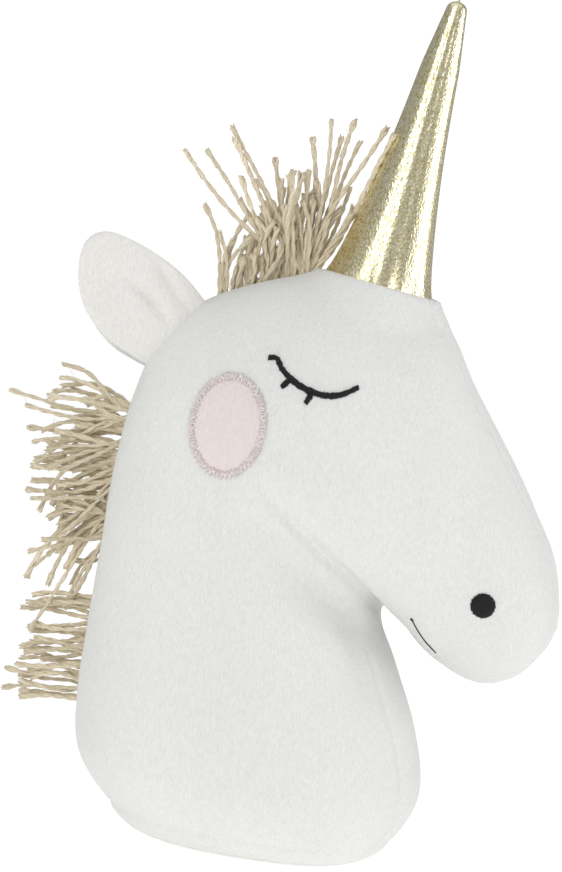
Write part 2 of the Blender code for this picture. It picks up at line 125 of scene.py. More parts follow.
CHEEK_CENTRE = (-31.0, 182.0)
CHEEK_RADII = (15.2, 20.5)
EYE_LINE = (
    (-18.5, 212.2), (-14.9, 212.4), (-12.4, 208.8), (-7.8, 205.0), (-2, 202), (6, 200.2), (13.5, 201.2),
    (20.6, 205.4),
)
EYE_LASHES = (((-7.4, 205.2), (-11.2, 200.9)), ((2.2, 201.2), (-0.2, 195.7)))
NOSTRIL_CENTRE = (85.0, 121.6)
NOSTRIL_RADIUS = 5.15
MOUTH_LINE = ((56.4, 110.5), (59, 106.3), (63, 101.2), (68.5, 96))

# Creases on each side, as (x, z) on the right side
DART = ((44, 110), (39, 114.5), (33, 119.5), (25, 126), (15.5, 133.5), (6.5, 141.5), (-6.5, 153), (-14, 162))
CHEST_FOLD = ((36, 97), (37.5, 90), (41, 82), (45, 75), (50, 66))


# ---- curves


def smooth_rows(table, t):
    """Rows on the smooth curve through evenly spaced rows, at an array of fractional indices."""
    last = len(table) - 1
    i = np.minimum(np.floor(t).astype(int), last - 1)
    f = (t - i)[..., None]
    a, b, c, d = (table[np.clip(i + k, 0, last)] for k in (-1, 0, 1, 2))
    return 0.5 * (2 * b + (c - a) * f + (2 * a - 5 * b + 4 * c - d) * f**2 + (3 * b - a - 3 * c + d) * f**3)


def smooth_line(points, count):
    table = np.array(points, dtype=float)
    return smooth_rows(table, np.linspace(0, len(table) - 1, count))


def signed_power(value, exponent):
    return np.sign(value) * np.abs(value) ** exponent


def skin(s, angle):
    """The outside of the plush. Angle 0 is the back or top, and pi the front or throat, by the right side."""
    back_x, back_z, front_x, front_z, half, square = np.moveaxis(smooth_rows(STATIONS, s), -1, 0)
    across = signed_power(np.cos(angle), 2 / square)
    x = (back_x + front_x) / 2 + (back_x - front_x) / 2 * across
    z = (back_z + front_z) / 2 + (back_z - front_z) / 2 * across
    return np.stack((x, -half * signed_power(np.sin(angle), 2 / square), z), axis=-1)


def angle_at(s, distance):
    """The angle from the top at which the section is this far from the middle."""
    half, square = np.moveaxis(smooth_rows(STATIONS, s)[..., 4:], -1, 0)
    return np.arcsin(np.minimum(distance / half, 1.0) ** (square / 2))


def half_width(s):
    return smooth_rows(STATIONS, s)[..., 4]


def top_half(s):
    """Half the width of the forehead gusset."""
    return np.minimum(FOREHEAD_GUSSET, FOREHEAD_SHARE * half_width(s))


def front_half(s):
    """Half the width of the chest gusset, then of the jaw gusset."""
    chest = CHEST_GUSSET[0] + (CHEST_GUSSET[1] - CHEST_GUSSET[0]) * s / NECK_END
    blend = np.clip((s - NECK_END) / THROAT_REACH, 0, 1)
    narrowing = CHEST_GUSSET[1] + (JAW_GUSSET - CHEST_GUSSET[1]) * blend
    jaw = np.minimum(narrowing, JAW_SHARE * half_width(s))
    return np.where(s < NECK_END, chest, jaw)


def ease(value):
    value = np.clip(value, 0.0, 1.0)
    return value * value * (3 - 2 * value)


# ---- meshes


def add_object(name, data):
    obj = bpy.data.objects.new(name, data)
    bpy.context.scene.collection.objects.link(obj)
    return obj


def new_object(name, points, faces):
    """A mesh object from points in millimetres."""
    mesh = bpy.data.meshes.new(name)
    mesh.from_pydata([tuple(p) for p in np.asarray(points, dtype=float) * MM], [], faces)
    mesh.update()
    mesh.shade_smooth()
    return add_object(name, mesh)


def ring_faces(rows, columns, start=0):
    """Faces that join closed rings of points, row after row."""
    faces = []
    for i in range(rows - 1):
        a = start + i * columns
        for j in range(columns):
            k = (j + 1) % columns
            faces.append((a + j, a + k, a + columns + k, a + columns + j))
    return faces


def read(items, name):
    out = np.empty(len(items) * 3)
    items.foreach_get(name, out)
    return out.reshape(-1, 3)


def coords(mesh):
    return read(mesh.vertices, "co") / MM


def set_coords(mesh, points):
    mesh.vertices.foreach_set("co", (np.asarray(points) * MM).ravel())
    mesh.update()


def normals(mesh):
    return read(mesh.vertex_normals, "vector")


def apply_modifiers(obj):
    depsgraph = bpy.context.evaluated_depsgraph_get()
    fresh = bpy.data.meshes.new_from_object(obj.evaluated_get(depsgraph), depsgraph=depsgraph)
    old = obj.data
    obj.modifiers.clear()
    obj.data = fresh
    bpy.data.meshes.remove(old)
    fresh.name = obj.name


def subdivide(obj, levels):
    mod = obj.modifiers.new("smooth", "SUBSURF")
    mod.levels = levels
    mod.render_levels = levels
    apply_modifiers(obj)


def thicken(obj, thickness):
    """Gives a sheet its thickness, inwards."""
    mod = obj.modifiers.new("thickness", "SOLIDIFY")
    mod.thickness = thickness * MM
    mod.offset = -1.0
    apply_modifiers(obj)


class Bundle:
    """Many small tubes gathered into one mesh, with a point attribute that follows each of them."""

    def __init__(self):
        self.points = []
        self.faces = []
        self.thread = []

    def tube(self, path, radii, sides, tag):
        """A round tube along a path.

        The attribute holds the length along it, the place around it (from 1 to 0 and back) and a tag.
        """
        path = np.asarray(path, dtype=float)
        radii = np.broadcast_to(radii, len(path))
        tangent = np.gradient(path, axis=0)
        tangent /= np.linalg.norm(tangent, axis=1)[:, None] + 1e-12
        side = np.cross(tangent[0], (0.3, 0.9, 0.2))
        start = len(self.points)
        length = 0.0
        for i, here in enumerate(path):
            side = side - tangent[i] * side.dot(tangent[i])
            side /= np.linalg.norm(side) + 1e-12
            other = np.cross(tangent[i], side)
            if i:
                length += np.linalg.norm(here - path[i - 1])
            for j in range(sides):
                turn = 2 * math.pi * j / sides
                self.points.append(here + (side * math.cos(turn) + other * math.sin(turn)) * radii[i])
                self.thread.append((length, abs(1 - 2 * j / sides), tag))
        self.faces += ring_faces(len(path), sides, start)
        self.faces.append(tuple(range(start + sides - 1, start - 1, -1)))
        end = start + (len(path) - 1) * sides
        self.faces.append(tuple(range(end, end + sides)))

    def make(self, name):
        obj = new_object(name, self.points, self.faces)
        layer = obj.data.attributes.new("thread", "FLOAT_VECTOR", "POINT")
        layer.data.foreach_set("vector", np.array(self.thread, dtype=np.float32).ravel())
        return obj


# ---- materials


class Look:
    """A node material under construction."""

    def __init__(self, name):
        self.material = bpy.data.materials.new(name)
        self.material.use_nodes = True
        self.nodes = self.material.node_tree.nodes
        self.links = self.material.node_tree.links
        self.shader = self.nodes["Principled BSDF"]

    def set(self, **values):
        for name, value in values.items():
            self.shader.inputs[name.replace("_", " ")].default_value = value
        return self

    def node(self, kind, inputs=None, **settings):
        node = self.nodes.new(kind)
        for name, value in settings.items():
            setattr(node, name, value)
        for name, value in (inputs or {}).items():
            if isinstance(value, bpy.types.NodeSocket):
                self.links.new(value, node.inputs[name])
            else:
                node.inputs[name].default_value = value
        return node

    def place(self, scale, attribute=None):
        """Coordinates stretched by a scale per metre, or per unit of an attribute."""
        if attribute:
            out = self.node("ShaderNodeAttribute", attribute_name=attribute).outputs["Vector"]
        else:
            out = self.node("ShaderNodeTexCoord").outputs["Object"]
        return self.node("ShaderNodeMapping", {"Vector": out, "Scale": scale}).outputs["Vector"]

    def noise(self, vector, detail=3.0, roughness=0.5, distortion=0.0):
        inputs = {
            "Vector": vector,
            "Scale": 1.0,
            "Detail": detail,
            "Roughness": roughness,
            "Distortion": distortion,
        }
        return self.node("ShaderNodeTexNoise", inputs).outputs["Fac"]

    def ramp(self, value, stops):
        node = self.node("ShaderNodeValToRGB", {"Fac": value})
        elements = node.color_ramp.elements
        while len(elements) < len(stops):
            elements.new(0.5)
        for element, (place, colour) in zip(elements, stops):
            element.position = place
            element.color = (*colour, 1.0)
        return node.outputs["Color"]

    def multiply(self, first, second):
        inputs = {0: 1.0, 6: first, 7: second}
        return self.node("ShaderNodeMix", inputs, data_type="RGBA", blend_type="MULTIPLY").outputs[2]

    def maths(self, operation, first, second):
        return self.node("ShaderNodeMath", {0: first, 1: second}, operation=operation).outputs[0]

    def colour(self, socket):
        self.links.new(socket, self.shader.inputs["Base Color"])
        return self

    def rough(self, socket):
        self.links.new(socket, self.shader.inputs["Roughness"])
        return self

    def bump(self, height, distance, strength=1.0):
        """Adds a bump under those added before."""
        inputs = {"Height": height, "Distance": distance, "Strength": strength}
        normal = self.shader.inputs["Normal"]
        if normal.links:
            inputs["Normal"] = normal.links[0].from_socket
        node = self.node("ShaderNodeBump", inputs)
        self.links.new(node.outputs["Normal"], normal)
        return self


def plush_look(name, colour, shade):
    """Short velvety pile: fine upright streaks, soft mottling and a light rim."""
    look = Look(name).set(Roughness=0.92, Sheen_Weight=0.5, Sheen_Roughness=0.32, Specular_IOR_Level=0.1)
    pile = look.noise(look.place((1250, 1250, 430)), detail=3.0, roughness=0.6, distortion=0.3)
    tufts = look.noise(look.place((430, 430, 240)), detail=2.0)
    drift = look.noise(look.place((28, 28, 22)), detail=3.0)
    streaks = look.ramp(pile, ((0.3, shade), (0.7, colour)))
    patches = look.ramp(drift, ((0.35, (0.985, 0.985, 0.982)), (0.65, (1.0, 1.0, 1.0))))
    look.colour(look.multiply(streaks, patches))
    look.bump(pile, 0.00046)
    look.bump(tufts, 0.0005, 0.7)
    return look.material


def leather_look():
    """Metallic coated leather: a crinkled pebbly surface over soft dents."""
    look = Look("gold_leather").set(Metallic=1.0)
    cells = look.node(
        "ShaderNodeTexVoronoi",
        {"Vector": look.place((900, 900, 760)), "Scale": 1.0, "Smoothness": 0.4},
        feature="SMOOTH_F1",
    ).outputs["Distance"]
    crinkle = look.noise(look.place((1050, 1050, 800)), detail=1.5, roughness=0.6, distortion=0.5)
    # This pattern darkens and lightens the gold in the colour itself: painted shade in the pebbles' hollows
    # and painted highlight on their tops, on top of the bumps below
    tone_noise = look.maths("SUBTRACT", look.maths("MULTIPLY", crinkle, 1.25), look.maths("MULTIPLY", cells, 0.35))
    tones_and_painted_shading = ((0.2, (0.56, 0.48, 0.25)), (0.4, (0.82, 0.745, 0.46)), (0.62, (0.97, 0.92, 0.70)))
    look.colour(look.ramp(tone_noise, tones_and_painted_shading))
    look.rough(look.ramp(crinkle, ((0.3, (0.32, 0.32, 0.32)), (0.7, (0.22, 0.22, 0.22)))))
    look.bump(cells, 0.0003, 0.4)
    look.bump(crinkle, 0.00025, 0.6)
    return look.material


def jute_look():
    """Natural two-ply twine: long fibres that differ in tone along each ply. The ramp's darkest tone is
    painted shade, deeper than the twine itself, standing for the shadows between strands though it follows
    the fibre noise.
    """
    look = Look("jute").set(Roughness=0.86, Specular_IOR_Level=0.2, Sheen_Weight=0.1, Sheen_Roughness=0.5)
    fibre = look.noise(look.place((0.35, 9.0, 40.0), attribute="thread"), detail=4.0, roughness=0.7)
    strand = look.noise(look.place((0.02, 0.0, 31.0), attribute="thread"), detail=0.0)
    # The dark end of this ramp is deepened as painted shade
    tones_and_painted_shading = ((0.2, (0.44, 0.35, 0.21)), (0.46, (0.79, 0.70, 0.53)), (0.75, (0.95, 0.90, 0.77)))
    tone = look.ramp(fibre, tones_and_painted_shading)
    tint = look.ramp(strand, ((0.3, (0.84, 0.82, 0.78)), (0.7, (1.06, 1.05, 1.02))))
    look.colour(look.multiply(tone, tint))
    look.bump(fibre, 0.00035, 0.9)
    return look.material


def thread_look(name, dark, light, roughness):
    """Embroidery thread with twisted filaments."""
    look = Look(name).set(Specular_IOR_Level=0.22)
    turns = look.place((1.6, 2.0, 0.0), attribute="thread")
    lay = look.node("ShaderNodeTexWave", {"Vector": turns, "Scale": 1.0})
    tone_noise = look.noise(look.place((1.5, 4.0, 60.0), attribute="thread"), detail=3.0)
    look.colour(look.ramp(tone_noise, ((0.3, dark), (0.7, light))))
    look.rough(look.ramp(tone_noise, ((0.2, (roughness,) * 3), (0.8, (roughness + 0.15,) * 3))))
    look.bump(lay.outputs["Fac"], 0.0001, 0.8)
    return look.material


def stage_look(name, colour):
    """Matt paper that glows a little, so that it stays nearly white."""
    look = Look(name).set(Roughness=0.9, Specular_IOR_Level=0.0)
    tone_noise = look.noise(look.place((3, 3, 3)), detail=1.0)
    tone = look.ramp(tone_noise, ((0.3, colour), (0.7, tuple(c * 0.995 for c in colour))))
    look.colour(tone)
    look.links.new(tone, look.shader.inputs["Emission Color"])
    look.set(Emission_Strength=0.47)
    return look.material


LOOKS = {}


def make_looks():
    cotton = (0.72, 0.66, 0.54), (0.62, 0.56, 0.44)
    LOOKS["plush"] = plush_look("plush_pile", (0.81, 0.812, 0.79), (0.72, 0.725, 0.702))
    LOOKS["ear_plush"] = plush_look("ear_pile", (0.83, 0.815, 0.785), (0.745, 0.728, 0.695))
    LOOKS["pink_felt"] = plush_look("pink_pile", (0.815, 0.735, 0.722), (0.745, 0.665, 0.655))
    LOOKS["gold_leather"] = leather_look()
    LOOKS["jute"] = jute_look()
    LOOKS["pink_thread"] = thread_look("pink_thread", (0.96, 0.82, 0.81), (1.0, 0.92, 0.91), 0.5)
    LOOKS["black_thread"] = thread_look("black_thread", (0.0015, 0.0015, 0.002), (0.035, 0.035, 0.037), 0.42)
    LOOKS["fibre"] = plush_look("loose_fibre", (0.86, 0.86, 0.85), (0.78, 0.78, 0.77))
    LOOKS["pellet_bag"] = plush_look("pellet_cotton", *cotton)
    LOOKS["cotton_tape"] = plush_look("cotton_tape", *cotton)


def dress(obj, slot):
    obj.data.materials.clear()
    obj.data.materials.append(LOOKS[slot])


def attach(obj, slot, node):
    """Dresses a piece that stands for a node of the head and moves with it."""
    dress(obj, slot)
    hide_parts(node)
    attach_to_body(obj, "head")


# ---- the stuffed body

ROWS = 6 * LAST + 1
CLOTH_SETTINGS = {
    "quality": 6,
    "mass": 0.04,
    "tension_stiffness": 12,
    "compression_stiffness": 12,
    "shear_stiffness": 6,
    "bending_stiffness": 0.15,
    "air_damping": 3,
    "use_pressure": True,
    "uniform_pressure_force": 40.0,
    "shrink_min": -0.012,
    "shrink_max": -0.012,
    "vertex_group_mass": "sewn",
}
CLOTH_FRAMES = 24
CLOTH_REACH = 3.0  # the furthest that a point may move
CLOTH_KEPT = 0.7  # share of the movement that is kept
HELD_HEIGHT = 11.5  # the skin is held under this height, near the horn and along the seams
HELD_BY_HORN = 36.0
HELD_BY_SEAM = 2.2
SEAM_FADE = 15.8  # station from which the seams of the muzzle fade out
TOP_COLUMNS, SIDE_COLUMNS, FRONT_COLUMNS = 8, 46, 10


def right_angles(s):
    """Angles of the grid's right half at each station: the top band, the side and the front band."""
    top = angle_at(s, top_half(s))
    front = math.pi - angle_at(s, front_half(s))
    a = top[:, None] * np.linspace(0, 1, TOP_COLUMNS)
    clustered = np.linspace(0, 1, SIDE_COLUMNS)
    clustered = 0.6 * clustered + 0.4 * ease(clustered)
    b = top[:, None] + (front - top)[:, None] * clustered
    c = front[:, None] + (math.pi - front)[:, None] * np.linspace(0, 1, FRONT_COLUMNS)
    return np.concatenate((a, b[:, 1:], c[:, 1:]), axis=1)


def point_tree(points):
    tree = kdtree.KDTree(len(points))
    for i, p in enumerate(points):
        tree.insert(p, i)
    tree.balance()
    return tree


def carve(points, out, line, depth, width):
    """Presses a valley along a line of points. Depth may differ along it."""
    tree = point_tree(line)
    depth = np.broadcast_to(depth, len(line))
    result = points.copy()
    for i, p in enumerate(points):
        _, nearest, distance = tree.find(p)
        if distance < 4 * width:
            result[i] -= out[i] * depth[nearest] * math.exp(-((distance / width) ** 2))
    return result


def side_tree(points, faces):
    return BVHTree.FromPolygons([Vector(p) for p in points], faces)


def surface_frame(tree, x, z, side, beside=25.0):
    """A point of the body's side and its outward normal, or the nearest one where the side ends."""
    start = Vector((x, 200.0 * side, z))
    spot, normal, _, _ = tree.ray_cast(start, Vector((0.0, -side, 0.0)))
    if spot is None:
        spot, normal, _, _ = tree.find_nearest(Vector((x, beside * side, z)))
    if normal.y * side < 0:
        normal = -normal
    return spot, normal


def project(tree, line, side):
    """Points of a line in (x, z), dropped from the side onto the body."""
    return [np.array(surface_frame(tree, x, z, side, 30.0)[0]) for x, z in line]


def seat_horn(points):
    """Levels the crown under the horn and lets the plush puff up around its sewn edge."""
    base = np.array(HORN_BASE)
    axis = np.array(HORN_AXIS)
    away = points - base
    height = away @ axis
    radius = np.linalg.norm(away - height[:, None] * axis, axis=1)
    near = (np.abs(height) < 30) & (radius < 46)
    level = -1.2 + 3.4 * np.exp(-(((radius - 27.0) / 3.0) ** 2))
    hold = 1 - ease((radius - 25) / 12)
    target = height + (level - height) * hold
    points[near] += ((target - height)[:, None] * axis)[near]
    return points


def body_grid():
    """The whole stuffed skin as one closed mesh, with each face's panel."""
    s = np.linspace(0, LAST, ROWS)
    angles = right_angles(s)
    half = skin(s[:, None] + angles * 0, angles)
    left = half[:, -2:0:-1] * (1, -1, 1)
    grid = np.concatenate((half, left), axis=1)
    columns = grid.shape[1]
    points = list(grid.reshape(-1, 3))
    faces, panels = [], []
    right_end = half.shape[1] - 1
    for i in range(ROWS - 1):
        station = (s[i] + s[i + 1]) / 2
        for j in range(columns):
            k = (j + 1) % columns
            faces.append((i * columns + j, i * columns + k, (i + 1) * columns + k, (i + 1) * columns + j))
            mirror = j if j < right_end else columns - 1 - j
            side = "right" if j < right_end else "left"
            if mirror < TOP_COLUMNS - 1 and station > CROWN_END:
                panels.append("forehead_gusset")
            elif mirror >= TOP_COLUMNS + SIDE_COLUMNS - 2:
                panels.append("chest_gusset" if station < NECK_END else "jaw_gusset")
            else:
                panels.append("side_panel_" + side)
    tip = len(points)
    points.append(np.array(MUZZLE_TIP))
    last = (ROWS - 1) * columns
    for j in range(columns):
        faces.append((last + j, last + (j + 1) % columns, tip))
        panels.append(panels[(ROWS - 2) * columns + j])
    rim = grid[0]
    previous = list(range(columns))
    for share in BASE_SHARES:
        start = len(points)
        rise = BASE_SEAM * max((share - BASE_FLAT) / (1 - BASE_FLAT), 0) ** BASE_RISE
        for p in rim:
            away = (p - (BASE_CENTRE_X, 0, 0)) * share
            points.append(np.array((BASE_CENTRE_X + away[0], away[1], rise)))
        ring = list(range(start, start + columns))
        for j in range(columns):
            k = (j + 1) % columns
            faces.append((previous[k], previous[j], ring[j], ring[k]))
            panels.append("base_panel")
        previous = ring
    centre = len(points)
    points.append(np.array((BASE_CENTRE_X, 0.0, 0.0)))
    for j in range(columns):
        faces.append((previous[(j + 1) % columns], previous[j], centre))
        panels.append("base_panel")
    return np.array(points), faces, panels


def seam_lines():
    """The sewn seams of the body as lines of points, with each one's depth and width."""
    crown = np.linspace(0, CROWN_END, 260)
    nose = np.linspace(CROWN_END, LAST, 200)
    whole = np.linspace(0, LAST, 520)
    lines = [(skin(crown, crown * 0), 1.3, 2.6)]
    for side in (1, -1):
        gusset = skin(nose, angle_at(nose, top_half(nose))) * (1, side, 1)
        lines.append((gusset, 0.6 * (1 - ease((nose - SEAM_FADE) / 1.0)), 1.8))
        front = skin(whole, math.pi - angle_at(whole, front_half(whole))) * (1, side, 1)
        lines.append((front, 0.9 * (1 - ease((whole - SEAM_FADE) / 1.0)), 2.2))
    around = np.linspace(0, 2 * math.pi, 400)
    lines.append((skin(around * 0, around), 0.8, 2.2))
    return lines


def sculpt_body(points, out, tree):
    """Presses the darts and folds into the stuffed skin."""
    for side in (1, -1):
        dart = project(tree, smooth_line(DART, 90), side)
        along = np.linspace(0, 1, 90)
        lower = [p - np.array((5.0, 0.0, 10.0)) for p in dart]
        upper = [p + np.array((6.0, 0.0, 11.0)) for p in dart]
        points = carve(points, out, lower, 4.6 * np.sin(np.pi * (0.3 + 0.7 * along)), 11.0)
        points = carve(points, out, upper, -3.2 * (1 - along) ** 0.5, 10.0)
        points = carve(points, out, dart, 4.8 * (1 - along**2.2) + 0.2, 3.0)
        fold = project(tree, smooth_line(CHEST_FOLD, 50), side)
        along = np.linspace(0, 1, 50)
        points = carve(points, out, fold, 2.0 * np.sin(np.pi * (0.3 + 0.7 * along)), 7.5)
    return points


def press_seams(points, out):
    for line, depth, width in seam_lines():
        points = carve(points, out, line, depth, width)
    return points


def relax(mesh, points, before, rounds, hold):
    """Evens out how far the points moved, so close rows can't cross. Hold keeps some of them as they are."""
    edges = np.empty(len(mesh.edges) * 2, dtype=np.int64)
    mesh.edges.foreach_get("vertices", edges)
    edges = edges.reshape(-1, 2)
    count = np.bincount(edges.ravel(), minlength=len(points))[:, None]
    moved = points - before
    for _ in range(rounds):
        total = np.zeros_like(moved)
        np.add.at(total, edges[:, 0], moved[edges[:, 1]])
        np.add.at(total, edges[:, 1], moved[edges[:, 0]])
        moved = moved * hold + total / count * (1 - hold)
    return before + moved


def settle(whole, points):
    """Lets the skin settle as cloth under the pressure of the filling, held where it is sewn."""
    seams = point_tree(np.concatenate([line for line, _, _ in seam_lines()]))
    held = []
    for i, p in enumerate(points):
        by_horn = (Vector(p) - HORN_BASE).length < HELD_BY_HORN
        if p[2] < HELD_HEIGHT or by_horn or seams.find(p)[2] < HELD_BY_SEAM:
            held.append(i)
    group = whole.vertex_groups.new(name="sewn")
    group.add(held, 1.0, "REPLACE")
    cloth = whole.modifiers.new("cloth", "CLOTH")
    for name, value in CLOTH_SETTINGS.items():
        setattr(cloth.settings, name, value)
    cloth.settings.effector_weights.gravity = 0.0
    cloth.collision_settings.use_collision = False
    cloth.point_cache.frame_start = 1
    cloth.point_cache.frame_end = CLOTH_FRAMES
    scene = bpy.context.scene
    for frame_number in range(1, CLOTH_FRAMES + 1):
        scene.frame_set(frame_number)
    depsgraph = bpy.context.evaluated_depsgraph_get()
    settled = coords(whole.evaluated_get(depsgraph).data)
    scene.frame_set(1)
    whole.modifiers.clear()
    whole.vertex_groups.clear()
    moved = settled - points
    far = np.linalg.norm(moved, axis=1)[:, None]
    moved *= np.minimum(1.0, CLOTH_REACH / np.maximum(far, 1e-9))
    return relax(whole.data, points + moved * CLOTH_KEPT, points, 8, 0.3)


def panel_object(name, points, faces):
    """One panel as a closed sheet of plush with its outside on the body's surface."""
    used = sorted({v for face in faces for v in face})
    index = {v: i for i, v in enumerate(used)}
    obj = new_object(name + "_cloth", points[used], [tuple(index[v] for v in face) for face in faces])
    thicken(obj, 1.6)
    obj.data.shade_smooth()
    obj.data.set_sharp_from_angle(angle=math.radians(60))
    dress(obj, "plush")
    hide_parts(name)
    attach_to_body(obj, "head")


def make_body():
    """Builds, sculpts and splits the stuffed body. Returns a tree of its outside for laying trims."""
    points, faces, panels = body_grid()
    whole = new_object("body_form", points, faces)
    names = sorted(set(panels))
    layer = whole.data.attributes.new("panel", "INT", "FACE")
    layer.data.foreach_set("value", [names.index(p) for p in panels])
    set_coords(whole.data, settle(whole, points))
    subdivide(whole, 1)
    points = coords(whole.data)
    out = normals(whole.data)
    points = seat_horn(points)
    set_coords(whole.data, points)
    faces = [tuple(p.vertices) for p in whole.data.polygons]
    formed = sculpt_body(points, out, side_tree(points, faces))
    near_throat = np.linalg.norm((points - THROAT) * (1, 0.3, 1), axis=1)
    throat = np.exp(-((near_throat / 15) ** 2))[:, None]
    formed = relax(whole.data, formed, points, 1, 0.4)
    formed = relax(whole.data, formed, points, 5, 1 - 0.8 * throat)
    set_coords(whole.data, formed)
    points = press_seams(formed, normals(whole.data))
    points = relax(whole.data, points, formed, 2, 1 - 0.8 * throat)
    set_coords(whole.data, points)
    values = np.empty(len(faces), dtype=np.int32)
    whole.data.attributes["panel"].data.foreach_get("value", values)
    for i, name in enumerate(names):
        panel_object(name, points, [face for face, value in zip(faces, values) if value == i])
    bpy.data.objects.remove(whole)
    return side_tree(points, faces)


def make_filling():
    """The packed fibre and the pellet bag, well inside the skin."""
    s = np.linspace(1.0, 15.5, 60)
    angles = np.linspace(0, 2 * math.pi, 48, endpoint=False)
    rings = skin(s[:, None] + 0 * angles, angles + 0 * s[:, None])
    middle = rings.mean(axis=1, keepdims=True)
    rings = middle + (rings - middle) * 0.74
    fill_rings("fibre_core", rings, "fibre", "fibre_filling")
    shares = np.linspace(0.02, 0.9, 10)
    heights = 6.0 + 20.0 * shares
    foot = skin(0 * angles, angles)
    rounded = 0.8 * np.sin(np.pi * (0.12 + 0.76 * shares)) ** 0.4
    away = foot - (BASE_CENTRE_X, 0, 0)
    rings = np.stack([away * (r, r, 0) + (BASE_CENTRE_X, 0, h) for r, h in zip(rounded, heights)])
    fill_rings("pellets_bag", rings, "pellet_bag", "ballast_bag")


def fill_rings(name, rings, slot, node):
    """A capped solid over rings of points."""
    count = rings.shape[1]
    faces = ring_faces(len(rings), count)
    faces.append(tuple(range(count - 1, -1, -1)))
    faces.append(tuple(range((len(rings) - 1) * count, len(rings) * count)))
    core = new_object(name, rings.reshape(-1, 3), faces)
    fix_normals(core)
    attach(core, slot, node)


# ---- the horn


def horn_radius(share):
    cone = HORN_RADIUS + (HORN_TIP_RADIUS - HORN_RADIUS) * share
    flare = 1.2 * math.exp(-share * 26)
    return cone - 1.6 * math.sin(math.pi * min(share * 1.3, 1.0)) + flare


def make_horn():
    """The leather cone: its sewn edge is gathered a little, a seam runs up it and its tip is rounded off."""
    rings, sides = 180, 144
    maker = random.Random(5)
    waves = [(maker.uniform(7, 19), maker.uniform(0, 6.28), maker.uniform(0.06, 0.16)) for _ in range(7)]
    axis, forward = np.array(HORN_AXIS), np.array(HORN_FORWARD)
    points = []
    for i in range(rings):
        share = i / (rings - 1)
        cap = max(share - 0.975, 0.0) / 0.025
        radius = horn_radius(share) * math.sqrt(max(1 - cap * cap, 0.02))
        centre = np.array(HORN_BASE) + axis * (HORN_LENGTH * share - 0.6)
        gather = math.exp(-share * 16)
        for j in range(sides):
            turn = 2 * math.pi * j / sides
            ripple = sum(a * math.sin(math.floor(n) * turn + p) for n, p, a in waves) * (0.4 + 2.2 * gather)
            seam = -0.55 * math.exp(-(((turn - 2.9) / 0.045) ** 2))
            reach = radius + ripple * min(1.0, (1 - share) * 6) + seam
            side = forward * math.cos(turn) + np.array((0.0, math.sin(turn), 0.0))
            points.append(centre + side * reach)
    faces = ring_faces(rings, sides)
    top = len(points)
    last = (rings - 1) * sides
    points.append(np.array(HORN_BASE) + axis * (HORN_LENGTH + 0.6))
    for j in range(sides):
        faces.append((last + j, last + (j + 1) % sides, top))
    horn = new_object("horn_leather", points, faces)
    thicken(horn, 1.0)
    horn.data.shade_smooth()
    dress(horn, "gold_leather")
    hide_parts("horn_cover", "horn_filling")
    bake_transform(horn)


# ---- the ears


def ear_form(side):
    """The two layers of an ear: grids of points across the front and back, sewn at their edge."""
    root = (EAR_ROOT_TOP - EAR_ROOT_LOW).normalized()
    flat_up = Vector((-root.z, 0.0, root.x))
    outward = Vector((0.0, -1.0, 0.0))
    centre = (EAR_ROOT_TOP + EAR_ROOT_LOW) / 2
    if side == "left":
        centre = centre - root * EAR_SLIP
        flat_up = flat_up * math.cos(EAR_LEAN) - root * math.sin(EAR_LEAN)
        root = Vector((flat_up.z, 0.0, -flat_up.x))
    rise = flat_up * math.cos(EAR_SPLAY) + outward * math.sin(EAR_SPLAY)
    face = rise.cross(root).normalized()
    if face.y > 0:
        face = -face
    rows, columns = 44, 33
    half = (len(EAR_OUTLINE) - 1) / 2
    share = np.linspace(0, 1, rows)
    lower = smooth_rows(EAR_OUTLINE, share * half * 0.985)
    upper = smooth_rows(EAR_OUTLINE, 2 * half - share * half * 0.985)
    layers = []
    for layer in (1, -1):
        grid = []
        for i in range(rows):
            line = []
            for j in range(columns):
                across = j / (columns - 1)
                across = 0.5 - 0.5 * math.cos(math.pi * across)
                u, v = lower[i] * (1 - across) + upper[i] * across
                edge = math.sin(math.pi * across) ** 0.55
                tip = min(1.0, (1 - share[i]) * 7) ** 0.5
                puff = 2.9 * edge * tip
                cup = -2.2 * math.sin(math.pi * across) * math.sin(math.pi * min(max(v, 0) / 60, 1)) * layer
                depth = layer * puff + (cup if layer == 1 else -cup * 0.7)
                if layer == 1:
                    crease = math.exp(-(((u - 3.5 + 0.012 * (v - 14) ** 2) / 1.7) ** 2))
                    depth -= 3.6 * crease * math.exp(-(((v - 14) / 11.0) ** 2))
                    second = math.exp(-(((u - 13 - 0.2 * (v - 8)) / 2.2) ** 2))
                    depth -= 2.0 * second * math.exp(-(((v - 12) / 11.0) ** 2))
                bend = 0.0016 * u * u
                spot = centre + root * u + rise * v + face * (depth - bend * 2.0)
                line.append(Vector((spot.x, spot.y * (1 if side == "right" else -1), spot.z)))
            grid.append(line)
        layers.append(grid)
    return layers, rows, columns, centre, rise


